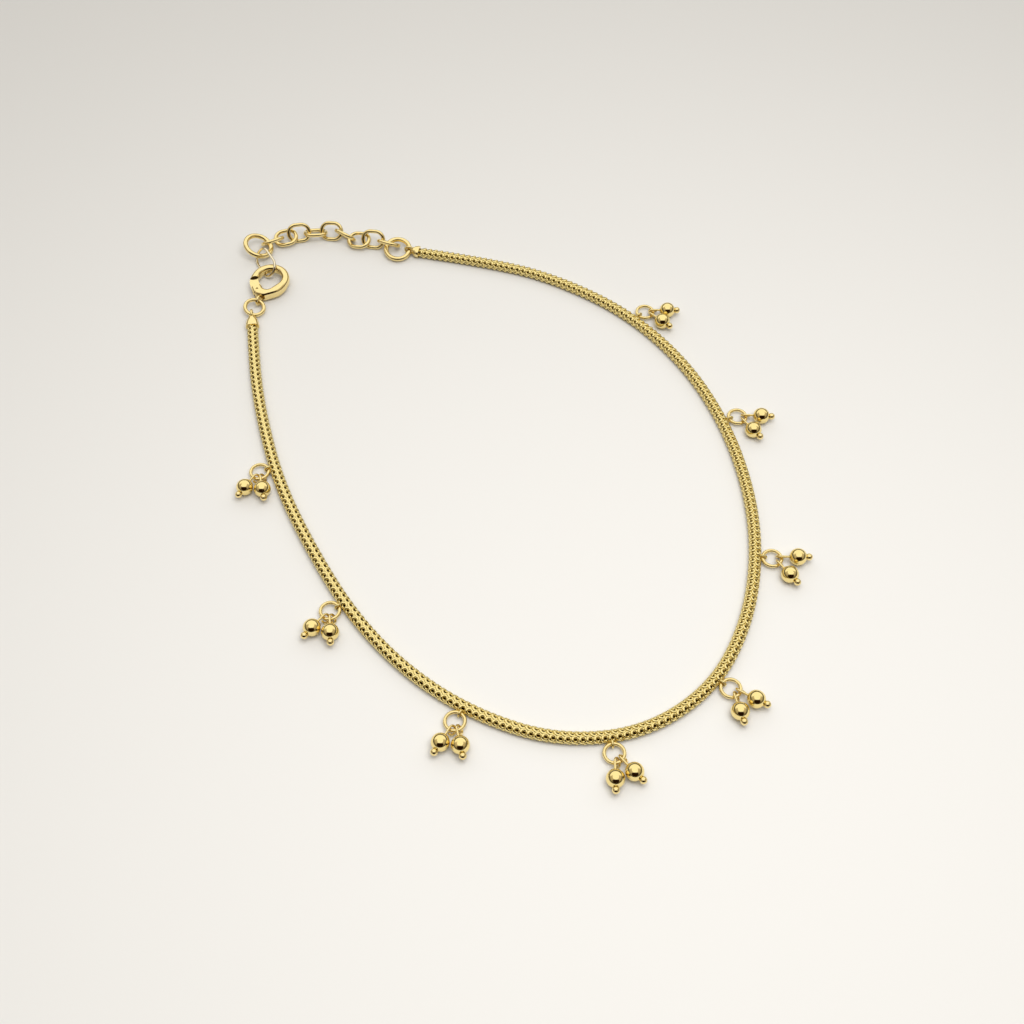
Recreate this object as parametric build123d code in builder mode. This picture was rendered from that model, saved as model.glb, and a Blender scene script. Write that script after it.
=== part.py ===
"""Charm anklet: a flat woven band closed into a loop by a lobster clasp and a short
extender chain, with eight pairs of drilled balls hanging from jump rings on its outer edge.

Millimetres and degrees. It lies flat: +Z is up, Z = 0 is the surface under it, and the
origin is below the middle of its outline. The clasp is at the far left corner."""

import os
from math import cos, radians, sin, sqrt, tan

from build123d import *

os.makedirs("parts", exist_ok=True)

# ---- woven band ----
BAND_WIDTH = 1.8
BAND_HEIGHT = 1.35
ROUNDING = 0.45  # share of the shorter run that each arc of the route takes
BAND_ROUTE = [  # corners of the band's centreline, from the clasp round to the extender
    (-38.67, 27.08), (-37.3, 17.83), (-34.9, 7.83), (-31.3, -3.17), (-25.8, -13.97),
    (-19.5, -24.17), (-12.0, -32.27), (-3.3, -38.07), (6.7, -41.47), (17.5, -40.47),
    (26.5, -34.37), (31.7, -25.17), (34.2, -14.67), (34.3, -3.67), (31.9, 8.33),
    (27.0, 19.53), (19.5, 28.93), (10.4, 35.43), (0.0, 39.93), (-14.35, 42.78),
]

# ---- end caps, crimped over the band's narrowed ends ----
TENON = 0.7  # how far a narrowed end goes into its cap
TENON_WIDTH, TENON_HEIGHT = 1.4, 0.95
CAP_FIT = 0.05  # gap round a tenon, past its end and at the band's shoulder
CAP_WIDTH, CAP_HEIGHT = 2.05, 1.44  # at its mouth
CAP_LEVEL = 0.78
CAP_BODY = 0.45  # share of its length where the cap starts to close
CAP_BODY_WIDTH, CAP_BODY_HEIGHT = 1.9, 1.46
CAP_NOSE_RADIUS = 0.48
CAP_NOSE_GAP = 0.5  # from the cap's closed end to the middle of its eye
CLASP_CAP_REACH = 1.85  # from the band's end to the middle of the cap's eye
EXTENDER_CAP_REACH = 0.95
EYE_RADIUS, EYE_WIRE = 0.66, 0.4
EYE_LEVEL = 0.87

# ---- charms ----
RING_RADIUS, RING_WIRE = 1.25, 0.46  # to the middle of the wire
RING_LEVEL = 0.7
RING_FIT = 0.05  # gap round a jump ring where it passes the band
LOOP_RADIUS, LOOP_WIRE = 0.46, 0.3  # the band's small edge loops
BALL_RADIUS = 1.18
BALL_REACH = 3.4  # from a jump ring's middle to a ball's middle
BALL_BORE = 0.44
PIN_WIRE = 0.32
PIN_LEAN = 33  # degrees that a pin's loop leans from upright, to the left seen from its ring
PIN_LOOP_RADIUS = (BALL_RADIUS - RING_LEVEL) / cos(radians(PIN_LEAN))
PIN_LOOP_ASIDE = PIN_LOOP_RADIUS * sin(radians(PIN_LEAN))
PIN_LOOP_REACH = sqrt(RING_RADIUS**2 - PIN_LOOP_ASIDE**2)  # along the pin from the jump ring's middle
PIN_LOOP_TURN = 285  # degrees of the pin's loop
GRAIN_RADIUS = 0.49  # the melted grain that heads each pin
GRAIN_REACH = 1.46  # from a ball's middle to its grain's middle
GRAIN_FIT = 0.03
CHARMS = [  # along the band, out to its ring's middle, heading of ball a, heading of ball b
    (28.0, 2.2, -119, -76),
    (52.8, 2.2, -127, -84),
    (74.85, 2.2, -119.5, -77),
    (93.75, 2.25, -91, -48),
    (109.8, 2.2, -77, -30),
    (129.4, 2.25, -1, -55),
    (152.9, 2.45, -4, -55),
    (175.9, 2.45, -1, -43.5),
]

# ---- lobster clasp: u runs from its eye to its far end, v to the left of that ----
CLASP_X, CLASP_Y, CLASP_LEVEL = -38.22, 31.77, 1.01  # middle of its eye
CLASP_HEADING = 72
CLASP_THICKNESS, CLASP_LIFT = 1.85, 0.5  # its underside rises by the lift at its far end
CLASP_LENGTH, CLASP_HALF_WIDTH = 7.5, 3.0
CLASP_HEEL = 0.62  # where the body starts, behind its eye
HOLE_FAR = (4.5, 0.0, 1.85)  # u, v and radius of the hole's wide end
HOLE_NEAR = (2.9, -0.3, 0.85)  # and of its narrow end
CLASP_EDGE, HOLE_EDGE = 0.6, 0.5  # rounding of the edges
CLASP_EYE_RADIUS, CLASP_EYE_WIRE = 0.62, 0.44
SLOT_DEPTH, SLOT_HEIGHT = 0.45, 0.65  # the slot in the heel, behind the eye
SLOT_RIGHT, SLOT_LEFT, SLOT_FLOOR = -0.75, 1.35, -0.1
NECK_RADIUS, NECK_LENGTH = 0.2, 0.9  # the eye's stem across that slot
PIVOT_U, PIVOT_V = 1.5, 0.8
LEVER_REACH = 2.7  # from the pivot to the lever's tip
LEVER_GAP = 0.06
LEVER_HEIGHT = 1.1
BARREL_RADIUS = 0.55
CHEEK_REACH = 1.05  # the cheeks' radius round the pivot
LEVER_SECTOR = (-16, 47, 105)  # headings from the pivot that the lever lies between
RIVET_LENGTH = 1.6
RIVET_RADIUS = 0.2
RIVET_FIT, LEVER_FIT = 0.01, 0.04

# ---- rings and links: middle x, y, z, then heading, rise and roll of the long way ----
JUMP_SIZE, JUMP_WIRE = 3.45, 0.58
JUMP_PLACE = (-38.71, 30.38, 0.94, 76, 4, 13)
CATCH_LENGTH, CATCH_WIDTH, CATCH_WIRE = 5.8, 3.4, 0.42
CATCH_PLACE = (-37.94, 39.64, 1.38, 121, 0, -51)
END_SIZE, END_WIRE = 4.9, 0.78
END_PLACE = (-39.5, 43.25, 1.51, 40, -17, 17)
LINK_LENGTH, LINK_WIDTH, LINK_WIRE = 3.95, 3.15, 0.6
LINK_PLACES = [
    (-37.42, 44.71, 1.18, 28, -1, -43),
    (-35.4, 45.62, 1.05, 13, 5, 14),
    (-33.29, 46.38, 1.4, 10, -1, 55),
    (-30.7, 46.76, 1.04, 11, -6, -24),
    (-28.11, 46.93, 1.25, -9, 4, 46),
    (-25.77, 45.85, 1.36, -34, 0, -56),
    (-23.52, 45.09, 1.03, -12, 6, 14),
    (-21.19, 44.92, 1.35, -9, 1, 54),
    (-18.65, 44.17, 1.21, -20, 0, -45),
]
LAST_SIZE, LAST_WIRE = 4.5, 0.74
LAST_PLACE = (-17.16, 43.11, 0.95, -9, -4, 11)


def save(name, part):
    part.label = name
    export_step(part, f"parts/{name}.step")


def heading(degrees):
    return Vector(cos(radians(degrees)), sin(radians(degrees)), 0)


def placed(x, y, z, turn, rise, roll):
    """The plane of a ring or link: its X is the long way, its Z the hole's axis."""
    along = Vector(1, 0, 0).rotate(Axis.Y, -rise).rotate(Axis.Z, turn)
    axis = Vector(0, 0, 1).rotate(Axis.X, roll).rotate(Axis.Y, -rise).rotate(Axis.Z, turn)
    return Plane(origin=(x, y, z), x_dir=along, z_dir=axis)


def band_route():
    """The band's centreline: straight runs joined by arcs as large as the runs allow."""
    corners = [Vector(x, y, BAND_HEIGHT / 2) for x, y in BAND_ROUTE]
    radii = []
    for before, corner, after in zip(corners, corners[1:], corners[2:]):
        shorter = min((corner - before).length, (after - corner).length)
        turn = (corner - before).get_angle(after - corner)
        radii.append(ROUNDING * shorter / tan(radians(turn / 2)))
    with BuildLine() as route:
        FilletPolyline(*corners, radius=radii)
    print("route", round(route.wires()[0].length, 1), "radii", [round(radius) for radius in radii])
    return route.wires()[0]


def route_plane(route, distance, level):
    """The plane across the band at a distance along it: X points out of the loop, Y up."""
    point = route.position_at(distance, position_mode=PositionMode.LENGTH)
    along = route.tangent_at(distance, position_mode=PositionMode.LENGTH)
    out = Vector(along.Y, -along.X, 0)
    return Plane(origin=(point.X, point.Y, level), x_dir=out, z_dir=along)


def charm_middle(route, distance, out):
    across = route_plane(route, distance, RING_LEVEL)
    return across.origin + across.x_dir * out


def woven_band(route):
    length = route.length
    with BuildPart() as band:
        with BuildSketch(route_plane(route, 0, BAND_HEIGHT / 2)):
            SlotOverall(BAND_WIDTH, BAND_HEIGHT)
        sweep(path=route)
        for end, inward in ((0, 1), (length, -1)):
            with BuildSketch(route_plane(route, end, BAND_HEIGHT / 2)):
                Rectangle(2 * BAND_WIDTH, 2 * BAND_HEIGHT)
                SlotOverall(TENON_WIDTH, TENON_HEIGHT, mode=Mode.SUBTRACT)
            extrude(amount=inward * TENON, mode=Mode.SUBTRACT)
        for distance, out, _, _ in CHARMS:
            across = route_plane(route, distance, RING_LEVEL)
            loop_middle = across.origin + across.x_dir * (out - RING_RADIUS)
            with Locations(Plane(loop_middle, across.x_dir, across.z_dir)):
                Torus(LOOP_RADIUS, LOOP_WIRE / 2)
            with Locations(charm_middle(route, distance, out)):
                Torus(RING_RADIUS, RING_WIRE / 2 + RING_FIT, mode=Mode.SUBTRACT)
    save("woven_band", band.part)


def end_cap(name, route, end, outward, eye_reach):
    """A cap over one end of the band, and its upright eye."""
    across = route_plane(route, end, 0)
    out = across.z_dir * outward
    side = across.x_dir * outward

    def section(distance, level):
        return Plane(across.origin + out * distance + Vector(0, 0, level), side, out)

    mouth = CAP_FIT - TENON
    nose = eye_reach - CAP_NOSE_GAP
    with BuildPart() as cap:
        with BuildSketch(section(mouth, CAP_LEVEL)):
            SlotOverall(CAP_WIDTH, CAP_HEIGHT)
        with BuildSketch(section(mouth + CAP_BODY * (nose - mouth), CAP_LEVEL)):
            SlotOverall(CAP_BODY_WIDTH, CAP_BODY_HEIGHT)
        with BuildSketch(section(nose, EYE_LEVEL)):
            Circle(CAP_NOSE_RADIUS)
        loft()
        with BuildSketch(section(mouth, BAND_HEIGHT / 2)):
            SlotOverall(TENON_WIDTH + 2 * CAP_FIT, TENON_HEIGHT + 2 * CAP_FIT)
        extrude(amount=TENON, mode=Mode.SUBTRACT)
        eye = section(eye_reach, EYE_LEVEL)
        with Locations(Plane(eye.origin, eye.z_dir, eye.x_dir)):
            Torus(EYE_RADIUS, EYE_WIRE / 2)
    save(name, cap.part)


def round_ring(name, size, wire, place):
    with BuildPart(placed(*place)) as ring:
        Torus((size - wire) / 2, wire / 2)
    save(name, ring.part)


def oval_link(name, length, width, wire, place):
    plane = placed(*place)
    half = (length - width) / 2
    side = (width - wire) / 2
    with BuildPart() as link:
        with BuildLine(plane) as path:
            Line((-half, -side), (half, -side))
            ThreePointArc((half, -side), (half + side, 0), (half, side))
            Line((half, side), (-half, side))
            ThreePointArc((-half, side), (-half - side, 0), (-half, -side))
        with BuildSketch(Plane(path.wires()[0] @ 0, z_dir=path.wires()[0] % 0)):
            Circle(wire / 2)
        sweep()
    save(name, link.part)


def charm_ball(name, middle, direction):
    """A ball drilled along its pin, with a seat for the pin's grain."""
    centre = middle + direction * BALL_REACH
    with BuildPart(Plane(centre, x_dir=(0, 0, 1), z_dir=direction)) as ball:
        Sphere(BALL_RADIUS)
        Cylinder(BALL_BORE / 2, 2 * BALL_RADIUS, mode=Mode.SUBTRACT)
        with Locations((0, 0, GRAIN_REACH)):
            Sphere(GRAIN_RADIUS + GRAIN_FIT, mode=Mode.SUBTRACT)
    save(name, ball.part)


def charm_pin(name, middle, direction):
    """A headed pin: straight through the ball, then turned down into a leaning loop."""
    back = Vector(0, 0, 1).rotate(Axis((0, 0, 0), direction), PIN_LEAN)
    side = Plane(middle, x_dir=direction, z_dir=direction.cross(back))
    loop_start = PIN_LOOP_REACH
    with BuildPart() as pin:
        with BuildLine(side) as path:
            Line((BALL_REACH + GRAIN_REACH, 0), (loop_start, 0))
            CenterArc((loop_start, -PIN_LOOP_RADIUS), PIN_LOOP_RADIUS, 90, PIN_LOOP_TURN)
        with BuildSketch(Plane(path.wires()[0] @ 0, z_dir=path.wires()[0] % 0)):
            Circle(PIN_WIRE / 2)
        sweep()
        with Locations(middle + direction * (BALL_REACH + GRAIN_REACH)):
            Sphere(GRAIN_RADIUS)
    save(name, pin.part)


def charm(number, route, distance, out, heading_a, heading_b):
    centre = charm_middle(route, distance, out)
    with BuildPart(Plane(centre)) as ring:
        Torus(RING_RADIUS, RING_WIRE / 2)
    save(f"charm_ring_{number}", ring.part)
    ball_middle = Vector(centre.X, centre.Y, BALL_RADIUS)
    for letter, degrees in (("a", heading_a), ("b", heading_b)):
        charm_pin(f"charm_pin_{number}{letter}", ball_middle, heading(degrees))
        charm_ball(f"charm_ball_{number}{letter}", ball_middle, heading(degrees))


def clasp_plane():
    return Plane((CLASP_X, CLASP_Y, CLASP_LEVEL), x_dir=heading(CLASP_HEADING), z_dir=(0, 0, 1))


def clasp_outline():
    """The clasp seen from above: a round loop that narrows to a blunt heel."""
    with BuildSketch() as outline:
        with Locations((CLASP_LENGTH - CLASP_HALF_WIDTH, 0), (CLASP_LENGTH - CLASP_HALF_WIDTH - 0.5, 0)):
            Circle(CLASP_HALF_WIDTH)
        with Locations((CLASP_HEEL + 0.65, -0.35), (CLASP_HEEL + 0.65, 0.7)):
            Circle(0.65)
        make_hull()
    with BuildSketch() as hole:
        for u, v, radius in (HOLE_FAR, HOLE_NEAR):
            with Locations((u, v)):
                Circle(radius)
        make_hull()
    return outline.sketch - hole.sketch


def clasp_blank(outline):
    """The whole clasp, lever included, thinner towards its far end, with rounded edges."""
    plane = clasp_plane()
    half = CLASP_THICKNESS / 2
    with BuildPart() as blank:
        with BuildSketch(plane):
            add(outline)
        extrude(amount=half, both=True)
        with BuildSketch(Plane(plane.origin, x_dir=plane.x_dir, z_dir=-plane.y_dir)):
            Polygon(
                (CLASP_HEEL, -half), (CLASP_LENGTH, CLASP_LIFT - half),
                (CLASP_LENGTH, half), (CLASP_HEEL, half), align=None,
            )
        extrude(amount=2 * CLASP_HALF_WIDTH, both=True, mode=Mode.INTERSECT)
        flat = [face for face in blank.faces() if abs(face.normal_at().Z) > 0.9]
        fillet([edge for face in flat for edge in face.outer_wire().edges()], CLASP_EDGE)
        flat = [face for face in blank.faces() if abs(face.normal_at().Z) > 0.9]
        fillet([edge for face in flat for wire in face.inner_wires() for edge in wire.edges()], HOLE_EDGE)
    return blank.part


def lever_window(reach, inner):
    """The part of the clasp's plan that the lever takes: a ring sector round the pivot."""
    far = 2 * reach
    corners = [(PIVOT_U, PIVOT_V)]
    for degrees in LEVER_SECTOR:
        corners.append((PIVOT_U + far * cos(radians(degrees)), PIVOT_V + far * sin(radians(degrees))))
    with BuildSketch() as window:
        with Locations((PIVOT_U, PIVOT_V)):
            Circle(reach)
            if inner:
                Circle(inner, mode=Mode.SUBTRACT)
        Polygon(*corners, align=None, mode=Mode.INTERSECT)
    return window.sketch


def clasp_body(blank):
    plane = clasp_plane()
    with BuildPart() as body:
        add(blank)
        # the lever's place in the loop, open above and below past the hinge's cheeks
        with BuildSketch(plane):
            add(lever_window(LEVER_REACH + LEVER_GAP, CHEEK_REACH))
        extrude(amount=CLASP_THICKNESS, both=True, mode=Mode.SUBTRACT)
        # the slot between the cheeks, where the lever's barrel turns
        with BuildSketch(plane):
            add(lever_window(LEVER_REACH + LEVER_GAP, 0))
            with Locations((PIVOT_U, PIVOT_V)):
                Circle(CHEEK_REACH)
        extrude(amount=LEVER_HEIGHT / 2 + LEVER_GAP, both=True, mode=Mode.SUBTRACT)
        with BuildSketch(plane):
            with Locations((PIVOT_U, PIVOT_V)):
                Circle(RIVET_RADIUS + RIVET_FIT)
        extrude(amount=CLASP_THICKNESS, both=True, mode=Mode.SUBTRACT)
        # the slot across the heel, with the eye's stem standing in it
        with BuildSketch(Plane(plane.origin + Vector(0, 0, SLOT_FLOOR), plane.x_dir, (0, 0, 1))):
            with Locations((CLASP_HEEL, SLOT_RIGHT)):
                Rectangle(SLOT_DEPTH, SLOT_LEFT - SLOT_RIGHT, align=(Align.MIN, Align.MIN))
        extrude(amount=SLOT_HEIGHT, mode=Mode.SUBTRACT)
        with BuildSketch(Plane(plane.origin + plane.x_dir * CLASP_EYE_RADIUS, (0, 0, 1), plane.x_dir)):
            Circle(NECK_RADIUS)
        extrude(amount=NECK_LENGTH)
        with Locations(Plane(plane.origin, x_dir=plane.x_dir, z_dir=-plane.y_dir)):
            Torus(CLASP_EYE_RADIUS, CLASP_EYE_WIRE / 2)
    save("clasp_body", body.part)


def clasp_lever(blank):
    plane = clasp_plane()
    with BuildPart() as lever:
        add(blank)
        with BuildSketch(plane):
            add(lever_window(LEVER_REACH, 0))
        extrude(amount=LEVER_HEIGHT / 2, both=True, mode=Mode.INTERSECT)
        with BuildSketch(plane):
            with Locations((PIVOT_U, PIVOT_V)):
                Circle(BARREL_RADIUS)
        extrude(amount=LEVER_HEIGHT / 2, both=True)
        with BuildSketch(plane):
            with Locations((PIVOT_U, PIVOT_V)):
                Circle(RIVET_RADIUS + LEVER_FIT)
        extrude(amount=CLASP_THICKNESS, both=True, mode=Mode.SUBTRACT)
    save("clasp_lever", lever.part)


def clasp_rivet():
    with BuildPart() as rivet:
        with BuildSketch(clasp_plane()):
            with Locations((PIVOT_U, PIVOT_V)):
                Circle(RIVET_RADIUS)
        extrude(amount=RIVET_LENGTH / 2, both=True)
    save("clasp_rivet", rivet.part)


route = band_route()
woven_band(route)
end_cap("clasp_end_cap", route, 0, -1, CLASP_CAP_REACH)
end_cap("extender_end_cap", route, route.length, 1, EXTENDER_CAP_REACH)
round_ring("clasp_jump_ring", JUMP_SIZE, JUMP_WIRE, JUMP_PLACE)
clasp_shape = clasp_blank(clasp_outline())
clasp_body(clasp_shape)
clasp_lever(clasp_shape)
clasp_rivet()
oval_link("catch_link", CATCH_LENGTH, CATCH_WIDTH, CATCH_WIRE, CATCH_PLACE)
round_ring("end_ring", END_SIZE, END_WIRE, END_PLACE)
for index, place in enumerate(LINK_PLACES):
    oval_link(f"extender_link_{index + 1}", LINK_LENGTH, LINK_WIDTH, LINK_WIRE, place)
round_ring("extender_ring", LAST_SIZE, LAST_WIRE, LAST_PLACE)
for index, row in enumerate(CHARMS):
    charm(index + 1, route, *row)
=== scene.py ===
"""Charm anklet in yellow gold plate: a flat band knitted from drawn wire, capped at both ends
and closed by a lobster clasp and a short chain, with pairs of burnished balls on jump rings.

Lengths are in millimetres, and mm() turns them to metres. The floor, lights and camera come last."""
from math import atan2, cos, pi, radians, sin, sqrt

import bpy
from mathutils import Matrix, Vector


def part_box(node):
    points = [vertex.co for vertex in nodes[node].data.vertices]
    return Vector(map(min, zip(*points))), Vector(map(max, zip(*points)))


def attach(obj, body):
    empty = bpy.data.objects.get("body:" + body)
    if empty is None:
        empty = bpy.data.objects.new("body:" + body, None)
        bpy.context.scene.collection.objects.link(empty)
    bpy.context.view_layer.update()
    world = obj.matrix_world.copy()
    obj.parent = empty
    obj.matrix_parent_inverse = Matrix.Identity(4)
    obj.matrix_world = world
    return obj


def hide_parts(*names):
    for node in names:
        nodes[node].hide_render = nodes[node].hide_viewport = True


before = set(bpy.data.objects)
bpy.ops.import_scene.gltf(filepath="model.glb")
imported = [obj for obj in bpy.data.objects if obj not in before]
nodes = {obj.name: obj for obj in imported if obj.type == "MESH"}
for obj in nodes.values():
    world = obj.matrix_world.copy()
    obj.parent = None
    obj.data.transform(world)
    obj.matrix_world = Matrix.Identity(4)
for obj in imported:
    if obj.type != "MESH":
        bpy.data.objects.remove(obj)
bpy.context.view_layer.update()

MM_PER_METRE = 1000


def mm(length):
    return length / MM_PER_METRE


# ---- the band's route, from the clasp's cap round to the extender's ----
BAND_ROUTE = [
    (-38.67, 27.08), (-37.3, 17.83), (-34.9, 7.83), (-31.3, -3.17), (-25.8, -13.97),
    (-19.5, -24.17), (-12.0, -32.27), (-3.3, -38.07), (6.7, -41.47), (17.5, -40.47),
    (26.5, -34.37), (31.7, -25.17), (34.2, -14.67), (34.3, -3.67), (31.9, 8.33),
    (27.0, 19.53), (19.5, 28.93), (10.4, 35.43), (0.0, 39.93), (-14.35, 42.78),
]
BAND_WIDTH = 1.85
BAND_HEIGHT = 1.38
CAP_DEPTH = 0.55  # how far the band's ends go into their caps

# ---- the knit: rings of drawn wire in columns round the band ----
WIRE = 0.24  # radius of the wire
RING_PITCH = 0.9  # from one ring of a column to the next
RING_LENGTH = 0.4  # half of a ring's length along the band, to the middle of the wire
RING_WIDTH = 0.36  # half of its width round the band
RING_BEND = 0.35  # how far a ring's sides are swept back, for each unit of its width
BEND_SOFTNESS = 0.1  # radius of that sweep's turn at the ring's middle
RING_LIFT = 0.1  # how far the leading end rises over the ring ahead of it
COLUMNS = 4
EVEN_START, ODD_START = 0.75, 0.25  # where columns start, in pitches: neighbours are half a pitch apart
RING_SEGMENTS, WIRE_SIDES = 14, 6
RING_WHOLE = 1.3  # a ring from end to end, wire and all
PITCHES_PAST = 0.6  # how much longer the band is than its rings' pitches, in pitches

# ---- the loops on the band's edge ----
JUMP_RADIUS = 1.25  # of a charm's jump ring, to the middle of its wire
LOOP_RADIUS, LOOP_WIRE = 0.46, 0.15  # to the middle of the wire, and of the wire itself
LOOP_SEGMENTS, LOOP_SIDES = 20, 10
CHARMS = 8


# ---- small helpers ----
def select_only(*objects):
    bpy.ops.object.select_all(action="DESELECT")
    for item in objects:
        item.select_set(True)
    bpy.context.view_layer.objects.active = objects[0]


def linear(colour):
    """An sRGB hex colour as linear red, green, blue and alpha."""
    channels = [int(colour[i:i + 2], 16) / 255 for i in (1, 3, 5)]
    return [c / 12.92 if c <= 0.04045 else ((c + 0.055) / 1.055) ** 2.4 for c in channels] + [1]


def node(tree, kind, settings=None, **inputs):
    """Adds a shader node, sets its properties, and sets or links its inputs."""
    made = tree.nodes.new(kind)
    for name, value in (settings or {}).items():
        setattr(made, name, value)
    for name, value in inputs.items():
        socket = made.inputs[int(name[1:])] if name[0] == "_" else made.inputs[name.replace("_", " ")]
        if isinstance(value, bpy.types.NodeSocket):
            tree.links.new(value, socket)
        else:
            socket.default_value = value
    return made


# ---- materials ----
def gold(name, colour, roughness, haze, grain_mm, grain_depth):
    """Gold plate over brass: the plate's colour tints what it mirrors, and fine rubbing leaves a haze."""
    material = bpy.data.materials.new(name)
    material.use_nodes = True
    tree = material.node_tree
    tree.nodes.clear()
    place = node(tree, "ShaderNodeTexCoord").outputs["Object"]
    rub = node(tree, "ShaderNodeTexNoise", Vector=place, Scale=1 / mm(grain_mm), Detail=3.0, Roughness=0.6)
    wear = node(
        tree, "ShaderNodeMapRange", Value=rub.outputs["Fac"],
        _1=0.3, _2=0.7, _3=roughness, _4=roughness + haze,
    )
    ripple = node(tree, "ShaderNodeBump", Height=rub.outputs["Fac"], Strength=1.0, Distance=mm(grain_depth))
    shader = node(
        tree, "ShaderNodeBsdfPrincipled", Base_Color=linear(colour), Metallic=1.0,
        Roughness=wear.outputs["Result"], Normal=ripple.outputs["Normal"],
    )
    node(tree, "ShaderNodeOutputMaterial", Surface=shader.outputs["BSDF"])
    return material


# name, colour, roughness, haze, then the grain's size and depth
WIRE_GOLD = gold("drawn wire, gold plated", "#F8E6A8", 0.14, 0.10, 0.12, 0.002)
POLISHED_GOLD = gold("tumbled gold plate", "#F8E4A8", 0.10, 0.08, 0.25, 0.002)
MIRROR_GOLD = gold("burnished gold plate", "#F8E4A3", 0.06, 0.06, 0.4, 0.002)
PALE_GOLD = gold("pale gold plate", "#F4EAD0", 0.12, 0.08, 0.25, 0.002)


KNIT_GRAIN, KNIT_GRAIN_DEPTH = 0.12, 0.002  # across and depth of the drawn wire's fine grain
KNIT_HAZE = 0.1


def knit_wire(name, colour, painted_shade_colour, roughness, inner_roughness):
    """Gold-plated wire, polished where a wheel reaches it, with painted shade that darkens its colour on its
    inner side so the knit's hollows read dark.
    """
    material = bpy.data.materials.new(name)
    material.use_nodes = True
    tree = material.node_tree
    tree.nodes.clear()
    place = node(tree, "ShaderNodeTexCoord").outputs["Object"]
    rub = node(tree, "ShaderNodeTexNoise", Vector=place, Scale=1 / mm(KNIT_GRAIN), Detail=3.0, Roughness=0.6)
    outward = node(tree, "ShaderNodeAttribute", {"attribute_name": "outward"}).outputs["Fac"]
    polish_and_painted_shade = node(
        tree, "ShaderNodeMapRange", {"interpolation_type": "SMOOTHSTEP"}, Value=outward, _1=0.15, _2=0.5,
    ).outputs["Result"]
    # painted shade: the colour is mixed towards the dark shade colour on the wire's inner side, standing in
    # for the shade in the knit's hollows
    shaded_tone = node(
        tree, "ShaderNodeMix", {"data_type": "RGBA"}, _0=polish_and_painted_shade, _6=linear(painted_shade_colour), _7=linear(colour),
    )
    dull = node(tree, "ShaderNodeMapRange", Value=polish_and_painted_shade, _3=inner_roughness, _4=roughness)
    wear = node(
        tree, "ShaderNodeMath", {"operation": "MULTIPLY_ADD"},
        _0=rub.outputs["Fac"], _1=KNIT_HAZE, _2=dull.outputs["Result"],
    )
    ripple = node(
        tree, "ShaderNodeBump", Height=rub.outputs["Fac"], Strength=1.0, Distance=mm(KNIT_GRAIN_DEPTH),
    )
    shader = node(
        tree, "ShaderNodeBsdfPrincipled", Base_Color=shaded_tone.outputs[2], Metallic=1.0,
        Roughness=wear.outputs["Value"], Normal=ripple.outputs["Normal"],
    )
    node(tree, "ShaderNodeOutputMaterial", Surface=shader.outputs["BSDF"])
    return material


# the second colour, #8A6420, is painted shade for the wire's inner side, where the knit's hollows lie in
# shadow
KNIT_GOLD = knit_wire("knitted wire, gold plated", "#F8E6A4", "#8A6420", 0.12, 0.4)


def finish(item, material):
    item.data.materials.clear()
    item.data.materials.append(material)


# ---- the woven band ----
def band_curve():
    curve = bpy.data.curves.new("band route", "CURVE")
    curve.dimensions = "3D"
    curve.twist_mode = "Z_UP"
    curve.resolution_u = 24
    spline = curve.splines.new("NURBS")
    spline.points.add(len(BAND_ROUTE) - 1)
    for point, (x, y) in zip(spline.points, BAND_ROUTE):
        point.co = (mm(x), mm(y), mm(BAND_HEIGHT / 2), 1)
    spline.order_u = 3
    spline.use_endpoint_u = True
    route = bpy.data.objects.new("band route", curve)
    bpy.context.scene.collection.objects.link(route)
    return route


def wrapped(along, across, lift):
    """A point of a flat sheet of rings, wrapped round the band's oval section."""
    radius = BAND_HEIGHT / 2 - WIRE - RING_LIFT
    flat = (BAND_WIDTH - BAND_HEIGHT) / 2
    quarter = flat + pi * radius / 2
    side = 1 if across >= 0 else -1
    reach = abs(across)
    under = reach > quarter
    if under:
        reach = 2 * quarter - reach
    turn = max(0, reach - flat) / radius
    y = min(reach, flat) + (radius + lift) * sin(turn)
    z = (radius + lift) * cos(turn)
    return Vector((along, side * y, -z if under else z))


def knit_ring(column):
    """One ring of wire of a column, leaning forward over the one ahead, wrapped to the band."""
    bpy.ops.mesh.primitive_torus_add(
        major_segments=RING_SEGMENTS, minor_segments=WIRE_SIDES, major_radius=RING_WIDTH, minor_radius=WIRE,
    )
    ring = bpy.context.object
    outward = ring.data.attributes.new("outward", "FLOAT", "POINT")
    radius = BAND_HEIGHT / 2 - WIRE - RING_LIFT
    flat = (BAND_WIDTH - BAND_HEIGHT) / 2
    girth = 4 * flat + 2 * pi * radius
    centre = girth * ((column + 0.5) / COLUMNS - 0.5)
    start = RING_PITCH * (ODD_START if column % 2 else EVEN_START)
    for vertex in ring.data.vertices:
        x, y, z = vertex.co
        out = Vector((x, y, 0)).normalized()
        x += out.x * (RING_LENGTH - RING_WIDTH)
        x += RING_BEND * (sqrt(y * y + BEND_SOFTNESS**2) - 0.5 * RING_WIDTH)
        lean = -RING_LIFT * out.x
        # how far this point of the wire faces out from the band; the knit's material paints shade on the
        # inner side from it
        outward.data[vertex.index].value = 0.5 + 0.5 * z / WIRE
        vertex.co = wrapped(start + x, centre + y, z + lean) / MM_PER_METRE
    return ring


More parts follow.
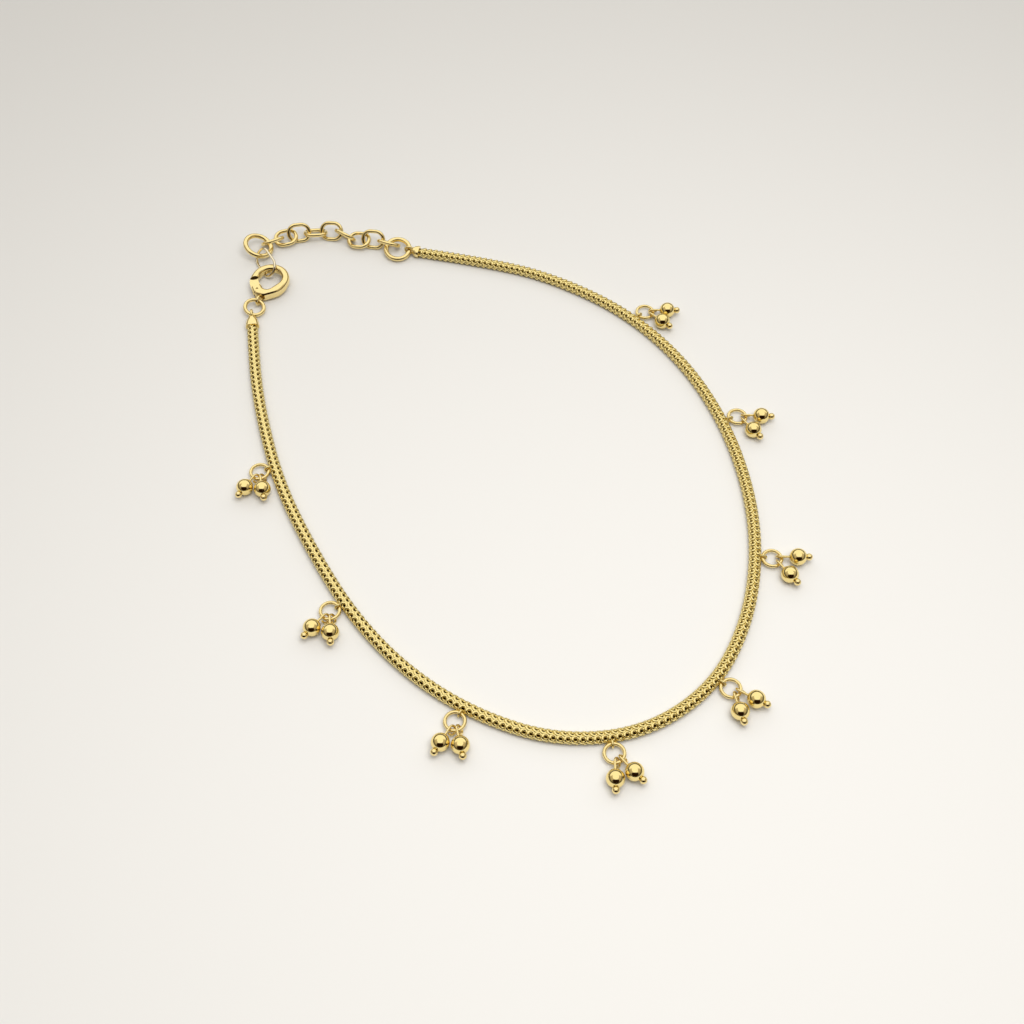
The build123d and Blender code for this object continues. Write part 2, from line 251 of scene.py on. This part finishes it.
def knit(name, route, length):
    """Columns of rings, repeated along the band and bent to its route."""
    rings = [knit_ring(column) for column in range(COLUMNS)]
    select_only(*rings)
    bpy.ops.object.join()
    strip = bpy.context.object
    strip.name = strip.data.name = name
    bpy.ops.object.shade_smooth()
    count = round((length + 2 * CAP_DEPTH - RING_WHOLE) / RING_PITCH)
    repeat = strip.modifiers.new("repeat", "ARRAY")
    repeat.use_relative_offset = False
    repeat.use_constant_offset = True
    repeat.constant_offset_displace = (mm(length / (count + PITCHES_PAST)), 0, 0)
    repeat.count = count
    bpy.ops.object.modifier_apply(modifier=repeat.name)
    bend = strip.modifiers.new("bend", "CURVE")
    bend.object = route
    bend.deform_axis = "POS_X"
    bpy.ops.object.modifier_apply(modifier=bend.name)
    finish(strip, KNIT_GOLD)
    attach(strip, "anklet")
    return strip


def edge_loop(number, line):
    """The small wire loop on the band's edge that carries a jump ring, soldered at its foot."""
    low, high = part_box(f"charm_ring_{number}")
    ring_middle = (low + high) / 2 * MM_PER_METRE
    nearest = min(line, key=lambda point: (point - ring_middle).to_2d().length)
    inward = (nearest - ring_middle).to_2d().normalized()
    place = ring_middle + inward.to_3d() * JUMP_RADIUS
    bpy.ops.mesh.primitive_torus_add(
        major_segments=LOOP_SEGMENTS, minor_segments=LOOP_SIDES,
        major_radius=mm(LOOP_RADIUS), minor_radius=mm(LOOP_WIRE),
        location=place / MM_PER_METRE, rotation=(pi / 2, 0, atan2(inward.y, inward.x)),
    )
    bpy.ops.object.transform_apply(location=True, rotation=True, scale=True)
    return bpy.context.object


route = band_curve()
band_length = route.data.splines[0].calc_length() * MM_PER_METRE
knitted = knit("woven_band_knit", route, band_length)
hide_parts("woven_band")
line_mesh = bpy.data.meshes.new_from_object(route)
line = [vertex.co * MM_PER_METRE for vertex in line_mesh.vertices]
loops = [edge_loop(number, line) for number in range(1, CHARMS + 1)]
select_only(*loops)
bpy.ops.object.join()
edge_loops = bpy.context.object
edge_loops.name = edge_loops.data.name = "band_edge_loops"
bpy.ops.object.shade_smooth()
finish(edge_loops, WIRE_GOLD)
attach(edge_loops, "anklet")
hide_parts("woven_band")
bpy.data.objects.remove(route)
bpy.data.meshes.remove(line_mesh)

for name, item in nodes.items():
    if name == "woven_band":
        continue
    if name.startswith("charm_ball"):
        finish(item, MIRROR_GOLD)
    elif name == "catch_link":
        finish(item, PALE_GOLD)
    else:
        finish(item, POLISHED_GOLD)

# ---- floor, lights and camera ----
def plain(name, colour, roughness):
    material = bpy.data.materials.new(name)
    material.use_nodes = True
    shader = material.node_tree.nodes["Principled BSDF"]
    shader.inputs["Base Color"].default_value = linear(colour)
    shader.inputs["Roughness"].default_value = roughness
    return material


bpy.ops.mesh.primitive_plane_add(size=2.0)
floor = bpy.context.object
floor.name = "floor"
finish(floor, plain("matt card", "#D6D5D3", 0.8))


def softbox(name, place, target, size, power):
    light = bpy.data.lights.new(name, "AREA")
    light.shape = "RECTANGLE"
    light.size, light.size_y = size
    light.energy = power
    item = bpy.data.objects.new(name, light)
    bpy.context.scene.collection.objects.link(item)
    item.location = place
    item.rotation_euler = (Vector(target) - Vector(place)).to_track_quat("-Z", "Y").to_euler()
    return item


key = softbox("key softbox", (0.03, -0.05, 0.2), (0.008, -0.014, 0), (0.16, 0.16), 0.33)
key.visible_glossy = False

world = bpy.data.worlds.new("studio")
bpy.context.scene.world = world
world.use_nodes = True
tree = world.node_tree
tree.nodes.clear()
facing = node(tree, "ShaderNodeTexCoord").outputs["Generated"]
split = node(tree, "ShaderNodeSeparateXYZ", Vector=facing)
smooth = {"interpolation_type": "SMOOTHSTEP"}
# dim, warm walls, darkest near the floor
wall_light = node(
    tree, "ShaderNodeMapRange", smooth, Value=split.outputs["Z"], _1=0.0, _2=0.6, _3=0.05, _4=0.58,
)
room = node(tree, "ShaderNodeBackground", Color=linear("#FBEFDC"), Strength=wall_light.outputs["Result"])
# a broad white softbox overhead, and a white screen at the back
overhead = node(tree, "ShaderNodeMapRange", smooth, Value=split.outputs["Z"], _1=0.74, _2=0.84)
behind = node(tree, "ShaderNodeMapRange", smooth, Value=split.outputs["Y"], _1=0.1, _2=0.45)
raised = node(tree, "ShaderNodeMapRange", smooth, Value=split.outputs["Z"], _1=0.2, _2=0.4)
screen = node(
    tree, "ShaderNodeMath", {"operation": "MULTIPLY"},
    _0=behind.outputs["Result"], _1=raised.outputs["Result"],
)
box_share = node(
    tree, "ShaderNodeMath", {"operation": "MAXIMUM"},
    _0=overhead.outputs["Result"], _1=screen.outputs["Value"],
)
box = node(tree, "ShaderNodeBackground", Color=linear("#FFFDF8"), Strength=1.12)
lit = node(
    tree, "ShaderNodeMixShader", Fac=box_share.outputs["Value"],
    _1=room.outputs["Background"], _2=box.outputs["Background"],
)
# a dark card below the softbox on the viewer's side, which gives the gold its depth
card_place = node(
    tree, "ShaderNodeMapping", Vector=facing, Location=(0.0, 0.85, -1.4), Scale=(1.6, 1.0, 2.9),
)
card_edge = node(tree, "ShaderNodeVectorMath", {"operation": "LENGTH"}, _0=card_place.outputs["Vector"])
off_card = node(tree, "ShaderNodeMapRange", smooth, Value=card_edge.outputs["Value"], _1=0.95, _2=1.15)
card = node(tree, "ShaderNodeBackground", Color=linear("#5C3A0A"), Strength=0.2)
mirrored = node(
    tree, "ShaderNodeMixShader", Fac=off_card.outputs["Result"],
    _1=card.outputs["Background"], _2=lit.outputs["Shader"],
)
# past the floor's edge the camera sees a pale backdrop, which lights nothing
backdrop = node(tree, "ShaderNodeBackground", Color=linear("#EAE6DE"), Strength=0.75)
path = node(tree, "ShaderNodeLightPath")
shown = node(
    tree, "ShaderNodeMixShader", Fac=path.outputs["Is Camera Ray"],
    _1=mirrored.outputs["Shader"], _2=backdrop.outputs["Background"],
)
node(tree, "ShaderNodeOutputWorld", Surface=shown.outputs["Shader"])
bpy.context.scene.view_settings.view_transform = "Standard"
bpy.context.scene.view_settings.gamma = 0.9

CAMERA_PLACE = (1.2, -101.67, 140)
CAMERA_DROP = 56  # degrees below level that the camera looks
camera = bpy.data.cameras.new("camera")
camera.lens = 42.9
camera.clip_start = mm(5)
camera_item = bpy.data.objects.new("camera", camera)
bpy.context.scene.collection.objects.link(camera_item)
camera_item.location = [mm(length) for length in CAMERA_PLACE]
camera_item.rotation_euler = (radians(90 - CAMERA_DROP), 0, 0)
bpy.context.scene.camera = camera_item
